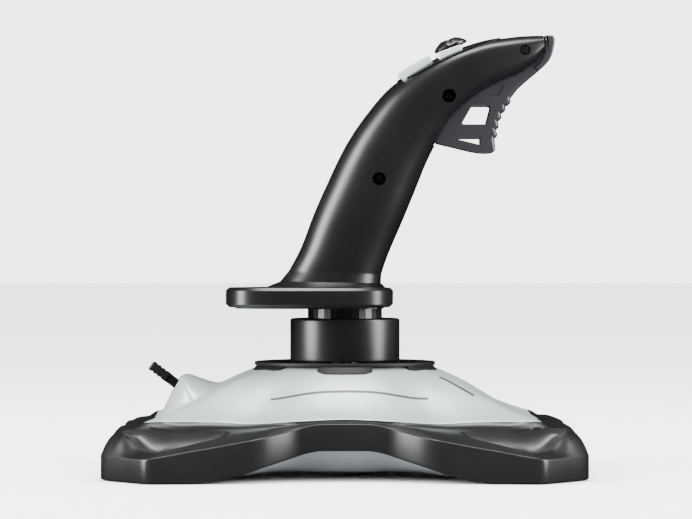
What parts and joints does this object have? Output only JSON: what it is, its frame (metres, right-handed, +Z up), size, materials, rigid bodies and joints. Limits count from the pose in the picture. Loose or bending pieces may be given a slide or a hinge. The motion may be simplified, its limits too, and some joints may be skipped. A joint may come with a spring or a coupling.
{
  "type": "flight joystick",
  "caption": "Desktop flight joystick: four-lobed base with silver shell, throttle lever, gimballed twisting stick, palm rest, contoured grip, thumb buttons, hat and skeleton trigger.",
  "frame": {"origin": "on the desk, under the stick's axis, at the centre of the base", "axes": "+X forward, the way the trigger faces; +Y to the user's left, the side of the base buttons; +Z up along the stick"},
  "size_m": [0.216, 0.1876, 0.2002],
  "materials": {
    "black_plastic": "satin black with a fine grain",
    "silver_shell": "satin silver-grey paint",
    "grey_cover": "satin",
    "dark_gloss": "smooth black",
    "silver_button": "satin silver paint",
    "nylon": "natural nylon",
    "rubber": "matte",
    "steel": "bright",
    "circuit_board": "green solder mask"
  },
  "bodies": {
    "base": {"base_frame": "black_plastic", "base_top_shell": "silver_shell", "base_bottom_cover": "grey_cover", "rubber_foot_1": "rubber", "rubber_foot_2": "rubber", "rubber_foot_3": "rubber", "rubber_foot_4": "rubber", "opening_bezel": "dark_gloss", "gimbal_housing": "nylon", "pitch_spring": "steel", "ballast_ring": "steel", "base_screw_1": "steel", "base_screw_2": "steel", "base_screw_3": "steel", "base_screw_4": "steel", "hall_sensor": "circuit_board", "main_circuit_board": "circuit_board", "button_circuit_board": "circuit_board", "cable_gland": "rubber", "throttle_pin": "steel", "throttle_bracket": "nylon", "throttle_sensor": "black_plastic"},
    "ring": {"gimbal_ring": "nylon"},
    "stick": {"gimbal_cross": "nylon", "roll_spring": "steel", "stick_shaft": "steel", "shaft_magnet": "steel", "ball_cover": "dark_gloss", "twist_collar": "black_plastic"},
    "grip": {"grip_shell_right": "black_plastic", "grip_shell_left": "black_plastic", "thumb_panel": "black_plastic", "grip_neck": "black_plastic", "twist_bearing": "nylon", "palm_under_cover": "black_plastic", "twist_spring": "steel", "twist_sensor": "black_plastic", "grip_screw_1": "steel", "grip_screw_2": "steel", "grip_screw_3": "steel", "thumb_circuit_board": "circuit_board", "trigger_pin": "steel", "trigger_spring": "steel", "trigger_switch": "black_plastic"},
    "trigger": {"trigger": "black_plastic"},
    "hat_rocker": {"hat_rocker": "nylon"},
    "hat_cap": {"hat_cap": "black_plastic"},
    "side_button": {"side_button": "black_plastic"},
    "throttle": {"throttle_lever": "black_plastic"},
    "thumb_button_3": {"thumb_button_3": "silver_button"},
    "thumb_button_4": {"thumb_button_4": "silver_button"},
    "thumb_button_5": {"thumb_button_5": "silver_button"},
    "thumb_button_6": {"thumb_button_6": "silver_button"},
    "base_button_7": {"base_button_7": "black_plastic"},
    "base_button_8": {"base_button_8": "black_plastic"},
    "base_button_9": {"base_button_9": "black_plastic"},
    "base_button_10": {"base_button_10": "black_plastic"},
    "base_button_11": {"base_button_11": "black_plastic"},
    "base_button_12": {"base_button_12": "black_plastic"}
  },
  "joints": [
    {"name": "stick_pitch", "type": "hinge", "parent": "base", "child": "ring", "pos_m": [0, 0, 0.0446], "axis": [0, 1, 0], "range_deg": [-16, 16], "stiffness_Nm_per_rad": 1.6, "springref_deg": -2.86},
    {"name": "stick_roll", "type": "hinge", "parent": "ring", "child": "stick", "pos_m": [0, 0, 0.0446], "axis": [1, 0, 0], "range_deg": [-16, 16], "stiffness_Nm_per_rad": 1.6},
    {"name": "stick_twist", "type": "hinge", "parent": "stick", "child": "grip", "pos_m": [0, 0, 0.066], "axis": [0, 0, 1], "range_deg": [-20, 20], "stiffness_Nm_per_rad": 0.4},
    {"name": "trigger_pull", "type": "hinge", "parent": "grip", "child": "trigger", "pos_m": [0.0805, 0, 0.1905], "axis": [0, 1, 0], "range_deg": [0, 6.5], "stiffness_Nm_per_rad": 0.3, "springref_deg": -8.59},
    {"name": "hat_fore_tilt", "type": "hinge", "parent": "grip", "child": "hat_rocker", "pos_m": [0.05028, 0, 0.19062], "axis": [0, 1, 0], "range_deg": [-8, 8], "stiffness_Nm_per_rad": 0.02},
    {"name": "hat_side_tilt", "type": "hinge", "parent": "hat_rocker", "child": "hat_cap", "pos_m": [0.05028, 0, 0.19062], "axis": [0.9397, 0, 0.342], "range_deg": [-8, 8], "stiffness_Nm_per_rad": 0.02},
    {"name": "side_button_press", "type": "slide", "parent": "grip", "child": "side_button", "axis": [0, -1, 0], "range_m": [0, 0.0012], "stiffness_N_per_m": 500, "springref_m": -0.0015},
    {"name": "throttle_swing", "type": "hinge", "parent": "base", "child": "throttle", "pos_m": [-0.0589, 0, 0.0262], "axis": [0.6, 0, 0.8], "range_deg": [-20, 20]},
    {"name": "thumb_button_3_press", "type": "slide", "parent": "grip", "child": "thumb_button_3", "axis": [0.5075, 0, -0.8616], "range_m": [0, 0.0012], "stiffness_N_per_m": 500, "springref_m": -0.0015},
    {"name": "thumb_button_4_press", "type": "slide", "parent": "grip", "child": "thumb_button_4", "axis": [0.5075, 0, -0.8616], "range_m": [0, 0.0012], "stiffness_N_per_m": 500, "springref_m": -0.0015},
    {"name": "thumb_button_5_press", "type": "slide", "parent": "grip", "child": "thumb_button_5", "axis": [0.342, 0, -0.9397], "range_m": [0, 0.0012], "stiffness_N_per_m": 500, "springref_m": -0.0015},
    {"name": "thumb_button_6_press", "type": "slide", "parent": "grip", "child": "thumb_button_6", "axis": [0.342, 0, -0.9397], "range_m": [0, 0.0012], "stiffness_N_per_m": 500, "springref_m": -0.0015},
    {"name": "base_button_7_press", "type": "slide", "parent": "base", "child": "base_button_7", "axis": [0, -0.6, -0.8], "range_m": [0, 0.0012], "stiffness_N_per_m": 500, "springref_m": -0.0015},
    {"name": "base_button_8_press", "type": "slide", "parent": "base", "child": "base_button_8", "axis": [0, -0.6, -0.8], "range_m": [0, 0.0012], "stiffness_N_per_m": 500, "springref_m": -0.0015},
    {"name": "base_button_9_press", "type": "slide", "parent": "base", "child": "base_button_9", "axis": [0, -0.6, -0.8], "range_m": [0, 0.0012], "stiffness_N_per_m": 500, "springref_m": -0.0015},
    {"name": "base_button_10_press", "type": "slide", "parent": "base", "child": "base_button_10", "axis": [0, -0.6, -0.8], "range_m": [0, 0.0012], "stiffness_N_per_m": 500, "springref_m": -0.0015},
    {"name": "base_button_11_press", "type": "slide", "parent": "base", "child": "base_button_11", "axis": [0, -0.6, -0.8], "range_m": [0, 0.0012], "stiffness_N_per_m": 500, "springref_m": -0.0015},
    {"name": "base_button_12_press", "type": "slide", "parent": "base", "child": "base_button_12", "axis": [0, -0.6, -0.8], "range_m": [0, 0.0012], "stiffness_N_per_m": 500, "springref_m": -0.0015}
  ]
}
